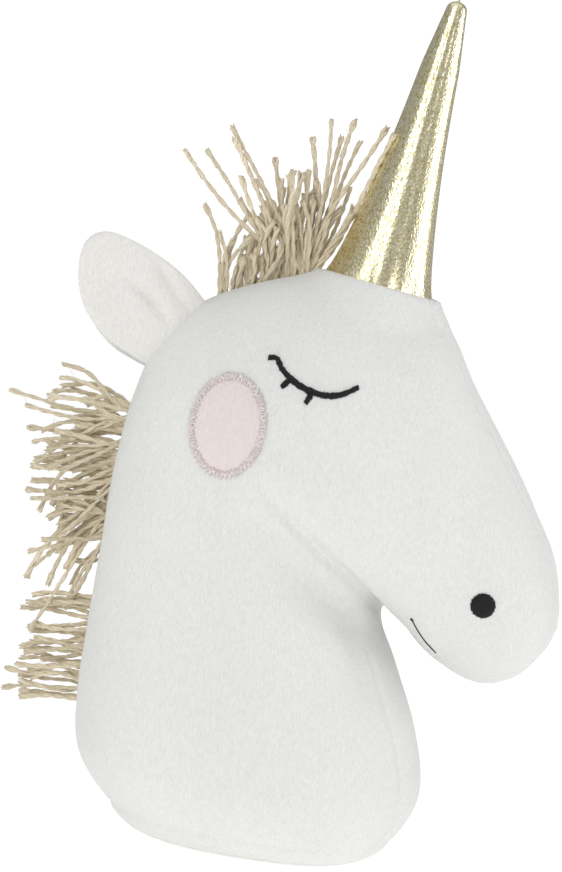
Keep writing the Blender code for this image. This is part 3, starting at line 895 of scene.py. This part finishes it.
def make_ears():
    for side in ("right", "left"):
        (front, back), rows, columns, centre, rise = ear_form(side)
        for name, grid, other in (("ear_front_", front, back), ("ear_back_", back, front)):
            faces = []
            points = [p for line in grid for p in line]
            count = len(points)
            for line, facing in zip(grid, other):
                points += [p + (q - p) * EAR_HALF for p, q in zip(line, facing)]
            for i in range(rows - 1):
                for j in range(columns - 1):
                    a, b = i * columns + j, i * columns + j + 1
                    c, d = a + columns, b + columns
                    faces.append((a, b, d, c))
                    faces.append((count + b, count + a, count + c, count + d))
            rim = [(0, j) for j in range(columns)] + [(i, columns - 1) for i in range(1, rows)]
            rim += [(rows - 1, j) for j in range(columns - 2, -1, -1)]
            rim += [(i, 0) for i in range(rows - 2, 0, -1)]
            ring = [i * columns + j for i, j in rim]
            for a, b in zip(ring, ring[1:] + ring[:1]):
                faces.append((b, a, count + a, count + b))
            ear = new_object(name + side + "_cloth", points, faces)
            fix_normals(ear)
            subdivide(ear, 1)
            ear.data.shade_smooth()
            dress(ear, "ear_plush" if name == "ear_front_" else "plush")
            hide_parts(name + side)
            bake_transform(ear)


def fix_normals(obj):
    bm = bmesh.new()
    bm.from_mesh(obj.data)
    bmesh.ops.remove_doubles(bm, verts=bm.verts, dist=1e-7)
    bmesh.ops.recalc_face_normals(bm, faces=bm.faces)
    bm.to_mesh(obj.data)
    bm.free()


# ---- face details


def on_body(tree, x, z, side, lift):
    spot, normal = surface_frame(tree, x, z, side)
    return np.array(spot + normal * lift)


def make_cheek(tree, side, word):
    """A pink patch under a zigzag border of thread."""
    rings, sides = 16, 64
    points = []
    for i in range(rings + 1):
        share = i / rings
        for j in range(sides):
            turn = 2 * math.pi * j / sides
            x = CHEEK_CENTRE[0] + CHEEK_RADII[0] * share * math.cos(turn)
            z = CHEEK_CENTRE[1] + CHEEK_RADII[1] * share * math.sin(turn)
            puff = 1.15 * (1 - share**6) + 0.25
            points.append(on_body(tree, x, z, side, puff))
    patch = new_object("cheek_patch_" + word + "_cloth", points, ring_faces(rings + 1, sides))
    fix_normals(patch)
    thicken(patch, 1.4)
    fix_normals(patch)
    patch.data.shade_smooth()
    attach(patch, "pink_felt", "cheek_patch_" + word)
    maker = random.Random(21)
    bundle = Bundle()
    for turns, shift in ((58, 0.0), (47, 0.37)):
        path = []
        for i in range(turns * 2):
            turn = 2 * math.pi * (i / 2 + shift) / turns
            reach = (-1.9 if i % 2 else 1.5) + maker.uniform(-0.35, 0.35)
            x = CHEEK_CENTRE[0] + (CHEEK_RADII[0] + reach) * math.cos(turn)
            z = CHEEK_CENTRE[1] + (CHEEK_RADII[1] + reach) * math.sin(turn)
            path.append((x, z, 0.75 + maker.uniform(-0.1, 0.15)))
        path.append(path[0])
        line = []
        for (x, z, lift), (x2, z2, _) in zip(path, path[1:]):
            for f in (0.0, 0.33, 0.66):
                rise = math.sin(math.pi * f) * 0.45
                line.append(on_body(tree, x + (x2 - x) * f, z + (z2 - z) * f, side, lift + rise))
        bundle.tube(line, 0.25, 6, turns * 0.01)
    border = bundle.make("cheek_border_" + word)
    attach(border, "pink_thread", "cheek_stitching_" + word)


SATIN_PITCH = 0.6
SATIN_HEIGHT = 0.85


def satin(bundle, tree, side, line, width, tag):
    """Satin stitch: threads side by side across a line in (x, z)."""
    line = np.array(line)
    steps = np.linalg.norm(np.diff(line, axis=0), axis=1)
    length = steps.sum()
    count = max(3, int(length / SATIN_PITCH))
    along = np.concatenate(([0.0], np.cumsum(steps)))
    maker = random.Random(int(tag * 1000) + 3)
    for i in range(count):
        at = length * (i + 0.5) / count
        here = np.array([np.interp(at, along, line[:, k]) for k in (0, 1)])
        ahead = np.array([np.interp(min(at + 0.5, length), along, line[:, k]) for k in (0, 1)])
        behind = np.array([np.interp(max(at - 0.5, 0.0), along, line[:, k]) for k in (0, 1)])
        tangent = (ahead - behind) / np.linalg.norm(ahead - behind)
        across = np.array((-tangent[1], tangent[0])) + tangent * 0.25
        share = i / (count - 1)
        thin = 0.72 + 0.28 * math.sin(math.pi * share)
        half = width / 2 * thin * maker.uniform(0.76, 1.2)
        path = []
        for f in np.linspace(-1, 1, 7):
            spot = here + across * half * f
            path.append(on_body(tree, spot[0], spot[1], side, 0.1 + SATIN_HEIGHT * (1 - abs(f) ** 2.4)))
        bundle.tube(path, 0.35, 6, tag + i * 0.013)


def make_eye(tree, side, word):
    """A closed eye in satin stitch, with two lashes."""
    bundle = Bundle()
    satin(bundle, tree, side, smooth_line(EYE_LINE, 60), 2.35, 0.1)
    for i, lash in enumerate(EYE_LASHES):
        satin(bundle, tree, side, smooth_line(lash, 12), 2.1, 0.2 + i * 0.1)
    eye = bundle.make("eye_satin_" + word)
    attach(eye, "black_thread", "eye_stitching_" + word)


def make_nostril(tree, side, word):
    """A round of satin stitch over a padded disc."""
    bundle = Bundle()
    rows = 17
    maker = random.Random(8)
    tilt = math.radians(14)
    for i in range(rows):
        offset = -1 + 2 * (i + 0.5) / rows
        half = NOSTRIL_RADIUS * math.sqrt(1 - offset * offset) + maker.uniform(-0.12, 0.3)
        path = []
        for f in np.linspace(-1, 1, 15):
            u, v = offset * NOSTRIL_RADIUS, f * half
            x = NOSTRIL_CENTRE[0] + u * math.cos(tilt) - v * math.sin(tilt)
            z = NOSTRIL_CENTRE[1] + u * math.sin(tilt) + v * math.cos(tilt)
            reach = math.hypot(u, v) / NOSTRIL_RADIUS
            path.append(on_body(tree, x, z, side, 0.1 + 0.8 * (1 - min(reach, 1.0) ** 4)))
        bundle.tube(path, 0.4, 7, 0.5 + i * 0.013)
    nostril = bundle.make("nostril_satin_" + word)
    attach(nostril, "black_thread", "nostril_" + word)


def make_mouth(tree, side, word):
    """A thin embroidered line that starts at a small knot."""
    bundle = Bundle()
    line = smooth_line(MOUTH_LINE, 26)
    for strand, shift in enumerate((-0.14, 0.14)):
        path = [on_body(tree, x, z + shift, side, 0.16) for x, z in line]
        bundle.tube(path, 0.2, 6, 0.7 + strand * 0.05)
    x, z = line[0]
    knot = [on_body(tree, x - 0.6 + 1.2 * f, z + 0.6 - 1.2 * f, side, 0.35) for f in np.linspace(0, 1, 6)]
    bundle.tube(knot, [0.15, 0.42, 0.52, 0.5, 0.38, 0.15], 8, 0.9)
    mouth = bundle.make("mouth_line_" + word)
    attach(mouth, "black_thread", "mouth_stitching_" + word)


# ---- the mane

PLY_PITCH = 13.0
STRAND_STEP = 1.4  # between the points along a strand
BRUSH_FIBRES = 9
LOOSE_SPACING = 5.0  # between the loose fibres along a strand
ROOT_DEPTH = 2.5  # how far inside the seam the strands start


def scatter(maker):
    return np.array([maker.uniform(-1, 1) for _ in range(3)])


def even_line(path):
    """The distance along a path, its points and its tangents, at even steps."""
    path = np.asarray(path, dtype=float)
    steps = np.linalg.norm(np.diff(path, axis=0), axis=1)
    along = np.concatenate(([0.0], np.cumsum(steps)))
    at = np.linspace(0, along[-1], max(8, int(along[-1] / STRAND_STEP)))
    line = np.stack([np.interp(at, along, path[:, k]) for k in range(3)], axis=1)
    tangent = np.gradient(line, axis=0)
    tangent /= np.linalg.norm(tangent, axis=1)[:, None]
    return at, line, tangent


def twine(bundle, path, radius, tag, maker):
    """A two-ply strand along a path. Its end comes undone into a small brush of fibres."""
    at, line, tangent = even_line(path)
    length = at[-1]
    side = np.cross(tangent[0], (0.2, 0.4, 0.9))
    phase = maker.uniform(0, 6.28)
    pitch = PLY_PITCH * maker.uniform(0.8, 1.35)
    undone = maker.uniform(3.0, 6.5)
    flare = ease((at - (length - undone - 1.5)) / undone)
    lump = 1 + 0.1 * np.sin(at * maker.uniform(0.3, 0.7) + maker.uniform(0, 6))
    tail = np.clip((length - at) / 1.3, 0, 1) ** 0.5
    fray = maker.uniform(0.12, 0.5)
    plies = [[], []]
    for i, here in enumerate(line):
        side = side - tangent[i] * side.dot(tangent[i])
        side /= np.linalg.norm(side)
        other = np.cross(tangent[i], side)
        turn = phase + 2 * math.pi * at[i] / pitch
        arm = side * math.cos(turn) + other * math.sin(turn)
        spread = radius * (0.40 + fray * flare[i])
        plies[0].append(here + arm * spread)
        plies[1].append(here - arm * spread)
    thick = radius * 0.64 * lump * (1 + 0.22 * flare) * (0.35 + 0.65 * tail)
    for k, ply in enumerate(plies):
        bundle.tube(ply, thick, 7, tag + 0.003 * k)
    start = int(len(at) * (1 - undone / length)) - 2
    brush_end(bundle, line, tangent[-1], (side, other), start, radius, tag, maker)
    loose_fibres(bundle, line, tangent, length, radius, tag, maker)


def brush_end(bundle, line, onward, arms, start, radius, tag, maker):
    """The fibres of a strand's undone end."""
    last = len(line) - 1
    start = max(1, min(start, last - 2))
    brush = maker.uniform(0.3, 0.9)
    for k in range(BRUSH_FIBRES):
        turn = maker.uniform(0, 6.28)
        arm = arms[0] * math.cos(turn) + arms[1] * math.sin(turn)
        reach = maker.uniform(-1.2, 0.7)
        hair = []
        for f in np.linspace(0, 1, 5):
            spot = start + (last - start) * f
            base = line[int(spot)] * (1 - spot % 1) + line[min(int(spot) + 1, last)] * (spot % 1)
            base = base + onward * reach * f
            hair.append(base + arm * radius * (0.45 + brush * f * f) * maker.uniform(0.85, 1.15))
        bundle.tube(hair, np.array([0.34, 0.38, 0.38, 0.34, 0.22]) * radius, 5, tag + 0.1 * k)


def loose_fibres(bundle, line, tangent, length, radius, tag, maker):
    """Short fibres that stand off a strand."""
    for k in range(max(3, int(length / LOOSE_SPACING))):
        i = maker.randrange(1, len(line) - 2)
        splay = scatter(maker)
        aim = tangent[i] * maker.choice((-1, 1)) + splay * maker.choice((0.15, 0.25, 0.7))
        aim /= np.linalg.norm(aim)
        start = line[i] + splay * radius * 0.8
        reach = maker.uniform(2.0, 6.0)
        bend = scatter(maker)
        hair = [start + aim * reach * f + bend * f * f * 1.1 for f in (0, 0.35, 0.7, 1.0)]
        bundle.tube(hair, [0.1, 0.09, 0.07, 0.03], 3, tag + 0.07 * k)


def strand_path(root, tip, sag, wobble, maker):
    """A curved path from a root to a tip. The sag bows it sideways by that much at its middle."""
    root, tip = np.array(root, dtype=float), np.array(tip, dtype=float)
    out = tip - root
    length = np.linalg.norm(out)
    bow = np.cross(out / length, (0.0, 1.0, 0.0)) * sag
    drift = scatter(maker) * wobble
    second = scatter(maker) * wobble * 0.6
    path = []
    for f in np.linspace(0, 1, 18):
        arch = math.sin(math.pi * f)
        path.append(root + out * f + bow * arch + drift * arch + second * math.sin(2 * math.pi * f))
    return path


def seam_frame(s):
    """A point of the centre seam and its direction out of the head."""
    step = 0.02
    here = skin(np.array(s), np.array(0.0))
    along = skin(np.array(s + step), np.array(0.0)) - here
    out = np.array((-along[2], 0.0, along[0])) / np.linalg.norm(along)
    return here, out


def seam_root(s, maker):
    """A strand's start, a little inside the centre seam."""
    here, out = seam_frame(s)
    return here - out * ROOT_DEPTH + np.array((0.0, maker.uniform(-1.6, 1.6), 0.0)), out


# Strands that stand apart from the rest: the station of the root, the tip (x, y, z) and the bow
FORELOCK_STRANDS = (
    (8.93, (-70, -9, 295), 4), (8.86, (-62, 3, 297), 2), (8.95, (-51, -11, 308), 0),
    (8.97, (-49, -14, 303), 1), (8.05, (-59, -3, 273), -3), (8.08, (-39, 2, 272), 4),
    (8.14, (-36, -6, 262), 4), (8.75, (-23, 4, 293), 0), (8.8, (-16, -4, 294), 0),
    (8.85, (-17, 6, 309), -2), (8.9, (-9, -6, 317), -2), (8.92, (-4, 3, 311), 1),
    (8.95, (1, -3, 318), -1), (8.97, (4, 8, 310), 1), (8.98, (15, 2, 317), 3),
    (8.99, (19, -7, 314), -2), (8.99, (22, 9, 297), 2),
)
UPPER_STRANDS = (
    (5.95, (-133, -6, 182), 4), (5.9, (-112, 5, 187), -3), (5.8, (-124, -12, 178), 4),
    (5.6, (-125, 4, 169), 5), (5.4, (-119, -10, 164), 2), (5.3, (-116, 8, 161), 3),
    (5.2, (-120, -3, 155), 3), (5.1, (-121, 9, 152), 1), (5.0, (-119, -12, 143), 6),
    (4.95, (-115, 3, 144), 5), (5.3, (-112, -10, 132), -9), (4.9, (-104, 4, 124), -7),
    (4.6, (-115, -3, 101), -4), (4.5, (-109, 8, 110), -3), (4.45, (-105, -5, 101), -3),
    (4.6, (-110, -8, 82), 0), (4.05, (-95, 0, 112), 5), (4.15, (-98, -4, 108), -5),
)
LOWER_STRANDS = (
    (3.3, (-110, -5, 90), 3), (3.2, (-117, 3, 86), 2), (2.9, (-110, -2, 77), 1),
    (2.75, (-111, 6, 71), 1), (2.6, (-111, -6, 67), 1), (2.45, (-114, 3, 64), 1),
    (2.3, (-119, -4, 60), 1), (2.05, (-114, 6, 55), 1), (1.9, (-119, -5, 50), -1),
    (1.7, (-112, 1, 46), -3),
)


def lock_objects(row, strands, tips_of, count, seed, crowd, droop):
    """Fills a row of locks with twine: the named strands, then more between them."""
    maker = random.Random(seed)
    names = sorted(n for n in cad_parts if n.startswith(row + "_"))
    stations = [s[0] for s in strands]
    low, high = min(stations), max(stations)
    bundles = [Bundle() for _ in names]
    chosen = list(strands)
    for i in range(count):
        s = low + (high - low) * ((i + maker.random()) / count) ** crowd
        chosen.append((s, None, maker.uniform(-3, 3)))
    for number, (s, tip, bow) in enumerate(chosen):
        root, out = seam_root(s, maker)
        if tip is None:
            tip = tips_of((s - low) / (high - low), root, maker)
            bow = bow * 0.8
        spread = (s - low) / (high - low + 1e-9)
        which = min(int(spread * len(names)), len(names) - 1)
        tag = 0.17 * number + seed
        path = strand_path(root, tip, bow, maker.uniform(0.8, 3.0), maker)
        sink = maker.uniform(0.2, 1.0) * droop
        path = [p - UP * sink * (i / (len(path) - 1)) ** 2.5 for i, p in enumerate(path)]
        twine(bundles[which], path, maker.uniform(0.88, 1.2), tag, maker)
    middle = (low + high) / 2
    _, out = seam_frame(middle)
    for name, bundle in zip(names, bundles):
        lock = bundle.make(name + "_twine")
        dress(lock, "jute")
        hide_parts(name)
        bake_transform(lock)


def tip_at(root, lean, side, length):
    return root + np.array((math.cos(lean), side, math.sin(lean))) * (length + 3)


def forelock_tip(share, root, maker):
    """Short upright strands at the back, and longer ones that fan both ways near the horn."""
    if share < 0.62:
        lean = math.radians(maker.gauss(80, 13))
        length = maker.uniform(13, 27)
    else:
        lean = math.radians(maker.gauss(99, 21))
        length = maker.triangular(24, 58, 34)
    side = maker.gauss(0, 0.22)
    return tip_at(root, lean, side, length)


def upper_tip(share, root, maker):
    lean = math.radians(212 - 46 * share + maker.gauss(0, 20))
    length = maker.uniform(18, 36)
    side = maker.gauss(0, 0.27)
    return tip_at(root, lean, side, length)


def lower_tip(share, root, maker):
    lean = math.radians(180 + maker.gauss(0, 5))
    length = maker.uniform(20, 30)
    side = maker.gauss(0, 0.2)
    return tip_at(root, lean, side, length)


def make_mane():
    lock_objects("forelock", FORELOCK_STRANDS, forelock_tip, 78, 1, 0.62, 1.0)
    lock_objects("upper_mane", UPPER_STRANDS, upper_tip, 72, 2, 0.9, 7.0)
    lock_objects("lower_mane", LOWER_STRANDS, lower_tip, 24, 3, 1.0, 2.5)


def make_tape():
    """The mane's header tape, three cords deep, sunk between the panels' edges at the centre seam."""
    bundle = Bundle()
    for number, depth in enumerate((1.2, 2.1, 3.0)):
        path = []
        for s in np.linspace(1.0, 8.95, 140):
            here, out = seam_frame(s)
            path.append(here - out * depth)
        bundle.tube(path, 0.6, 8, number * 0.3)
    tape = bundle.make("mane_header_tape")
    attach(tape, "cotton_tape", "mane_tape")


# ---- stage, lights and camera

TARGET = Vector((-12.0, 0.0, 177.0))
CAMERA_DISTANCE = 1000.0
CAMERA_YAW = math.radians(4.2)
CAMERA_RISE = math.radians(4.5)
CAMERA_ROLL = math.radians(8.0)
FRAME_HEIGHT = 382.0
SENSOR = 36.0
FLOOR_HALF = 9000.0
FLOOR_DROP = 0.2


def direction(turn, rise):
    """The way out of the head at a turn from straight beside its right cheek and a rise over the floor."""
    return Vector((math.sin(turn) * math.cos(rise), -math.cos(turn) * math.cos(rise), math.sin(rise)))


def make_camera():
    data = bpy.data.cameras.new("camera")
    data.sensor_width = SENSOR
    data.lens = SENSOR * CAMERA_DISTANCE / FRAME_HEIGHT
    data.clip_start = 0.05
    camera = add_object("camera", data)
    out = direction(CAMERA_YAW, CAMERA_RISE)
    camera.location = (TARGET + out * CAMERA_DISTANCE) * MM
    look = (-out).to_track_quat("-Z", "Y")
    camera.rotation_euler = (look.to_matrix() @ Matrix.Rotation(CAMERA_ROLL, 3, "Z")).to_euler()
    bpy.context.scene.camera = camera


def area_light(name, azimuth, elevation, distance, size, power):
    """A soft panel aimed at the head. Azimuth 0 is the camera's side, and positive is to its right."""
    data = bpy.data.lights.new(name, "AREA")
    data.shape = "RECTANGLE"
    data.size, data.size_y = size
    data.energy = power
    light = add_object(name, data)
    out = direction(math.radians(azimuth) + CAMERA_YAW, math.radians(elevation))
    middle = Vector((0.0, 0.0, 0.2))
    light.location = middle + out * distance
    light.rotation_euler = (-out).to_track_quat("-Z", "Y").to_euler()


def make_stage():
    """A pale floor under soft light, with a white background behind it."""
    corners = [(x * FLOOR_HALF, y * FLOOR_HALF, -FLOOR_DROP) for x, y in ((-1, -1), (1, -1), (1, 1), (-1, 1))]
    floor = new_object("floor", corners, [(0, 1, 2, 3)])
    floor.data.materials.append(stage_look("floor_paper", (0.93, 0.93, 0.93)))
    world = bpy.data.worlds.new("studio")
    bpy.context.scene.world = world
    world.use_nodes = True
    nodes, links = world.node_tree.nodes, world.node_tree.links
    backdrop = nodes["Background"]
    backdrop.inputs["Color"].default_value = (1.0, 1.0, 1.0, 1.0)
    backdrop.inputs["Strength"].default_value = 1.1
    fill = nodes.new("ShaderNodeBackground")
    fill.inputs["Color"].default_value = (0.98, 0.99, 1.0, 1.0)
    fill.inputs["Strength"].default_value = 0.36
    path = nodes.new("ShaderNodeLightPath")
    mix = nodes.new("ShaderNodeMixShader")
    links.new(path.outputs["Is Camera Ray"], mix.inputs[0])
    links.new(fill.outputs[0], mix.inputs[1])
    links.new(backdrop.outputs[0], mix.inputs[2])
    links.new(mix.outputs[0], nodes["World Output"].inputs["Surface"])
    area_light("front_left_panel", -23, 16, 1.9, (0.42, 1.9), 10.0)
    area_light("right_panel", 88, 8, 1.7, (0.5, 1.7), 11.5)
    sun = bpy.data.lights.new("overhead", "SUN")
    sun.energy = 0.85
    sun.angle = math.radians(100)
    add_object("overhead", sun).rotation_euler = (math.radians(18), 0.0, 0.0)
    scene = bpy.context.scene
    scene.view_settings.view_transform = "Standard"
    scene.view_settings.look = "None"


def main():
    make_looks()
    tree = make_body()
    make_filling()
    make_horn()
    make_ears()
    for side, word in ((-1, "right"), (1, "left")):
        make_cheek(tree, side, word)
        make_eye(tree, side, word)
        make_nostril(tree, side, word)
        make_mouth(tree, side, word)
    make_mane()
    make_tape()
    make_stage()
    make_camera()


main()
